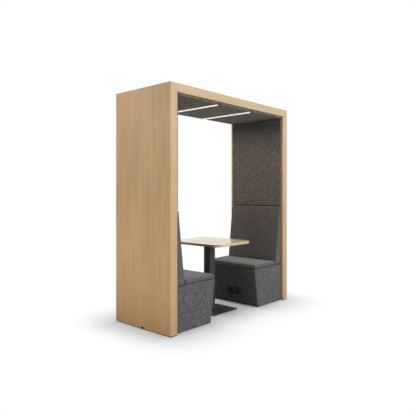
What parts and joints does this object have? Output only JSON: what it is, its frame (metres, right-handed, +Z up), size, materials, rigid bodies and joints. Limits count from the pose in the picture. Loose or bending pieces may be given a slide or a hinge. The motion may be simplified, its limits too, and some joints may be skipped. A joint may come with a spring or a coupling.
{
  "type": "office pod",
  "caption": "Open meeting booth: oak portal with felt lining, ceiling light bars, facing upholstered benches, a pedestal table and a power module.",
  "frame": {"origin": "on the floor under the middle of the pod", "axes": "+Z up, +X to the right bench seen from the front, +Y to the back, so the front faces -Y"},
  "size_m": [1.87, 0.765, 2.2],
  "materials": {
    "oak_veneer": "satin",
    "oak_solid": "satin",
    "plywood": "matte",
    "lining_felt": "matte",
    "seat_wool": "matte",
    "table_oak": "satin",
    "black_steel": "matte",
    "zinc_steel": "satin",
    "light_profile": "satin",
    "opal_cover": "satin",
    "circuit_strip": "matte",
    "black_plastic": "satin",
    "white_plastic": "satin",
    "foot_plastic": "matte"
  },
  "bodies": {
    "pod": {"backrest_boards": "plywood", "bench_bolts": "zinc_steel", "bench_glides": "foot_plastic", "ceiling_pad_left": "lining_felt", "ceiling_pad_middle": "lining_felt", "ceiling_pad_right": "lining_felt", "corner_brackets": "zinc_steel", "corner_screws": "zinc_steel", "foot_inserts": "zinc_steel", "led_driver": "white_plastic", "led_strips": "circuit_strip", "left_backrest_cushion": "seat_wool", "left_bench_boards": "plywood", "left_bench_skirt": "seat_wool", "left_bench_top_board": "plywood", "left_front_post": "oak_solid", "left_inner_panel": "oak_veneer", "left_outer_panel": "oak_veneer", "left_rear_post": "oak_solid", "left_seat_cushion": "seat_wool", "left_wall_pad": "lining_felt", "light_channels": "light_profile", "light_diffusers": "opal_cover", "light_end_caps": "black_plastic", "power_bezel": "black_plastic", "power_cable_inlet": "black_plastic", "power_housing": "black_plastic", "power_socket_insert": "black_plastic", "power_usb_insert": "black_plastic", "right_backrest_cushion": "seat_wool", "right_bench_boards": "plywood", "right_bench_skirt": "seat_wool", "right_bench_top_board": "plywood", "right_front_post": "oak_solid", "right_inner_panel": "oak_veneer", "right_outer_panel": "oak_veneer", "right_rear_post": "oak_solid", "right_seat_cushion": "seat_wool", "right_wall_pad": "lining_felt", "roof_front_beam": "oak_solid", "roof_joists": "plywood", "roof_rear_beam": "oak_solid", "roof_soffit_panel": "plywood", "roof_top_panel": "oak_veneer", "seat_boards": "plywood", "wall_rails": "plywood"},
    "table": {"table_top": "table_oak", "table_top_plate": "black_steel", "table_column": "black_steel", "table_base_plate": "black_steel", "table_glides": "foot_plastic", "table_screws": "zinc_steel"},
    "light_switch": {"light_switch_button": "black_plastic"},
    "left_front_foot": {"left_front_foot": "foot_plastic"},
    "left_rear_foot": {"left_rear_foot": "foot_plastic"},
    "right_front_foot": {"right_front_foot": "foot_plastic"},
    "right_rear_foot": {"right_rear_foot": "foot_plastic"}
  },
  "joints": [
    {"name": "table_slide", "type": "slide", "parent": "pod", "child": "table", "axis": [0, -1, 0], "range_m": [0, 0.75]},
    {"name": "light_switch_press", "type": "slide", "parent": "pod", "child": "light_switch", "axis": [0.9902, 0, 0.1397], "range_m": [0, 0.002], "stiffness_N_per_m": 1200, "springref_m": -0.001},
    {"name": "left_front_foot_level", "type": "slide", "parent": "pod", "child": "left_front_foot", "axis": [0, 0, -1], "range_m": [0, 0.012]},
    {"name": "left_rear_foot_level", "type": "slide", "parent": "pod", "child": "left_rear_foot", "axis": [0, 0, -1], "range_m": [0, 0.012]},
    {"name": "right_front_foot_level", "type": "slide", "parent": "pod", "child": "right_front_foot", "axis": [0, 0, -1], "range_m": [0, 0.012]},
    {"name": "right_rear_foot_level", "type": "slide", "parent": "pod", "child": "right_rear_foot", "axis": [0, 0, -1], "range_m": [0, 0.012]}
  ]
}
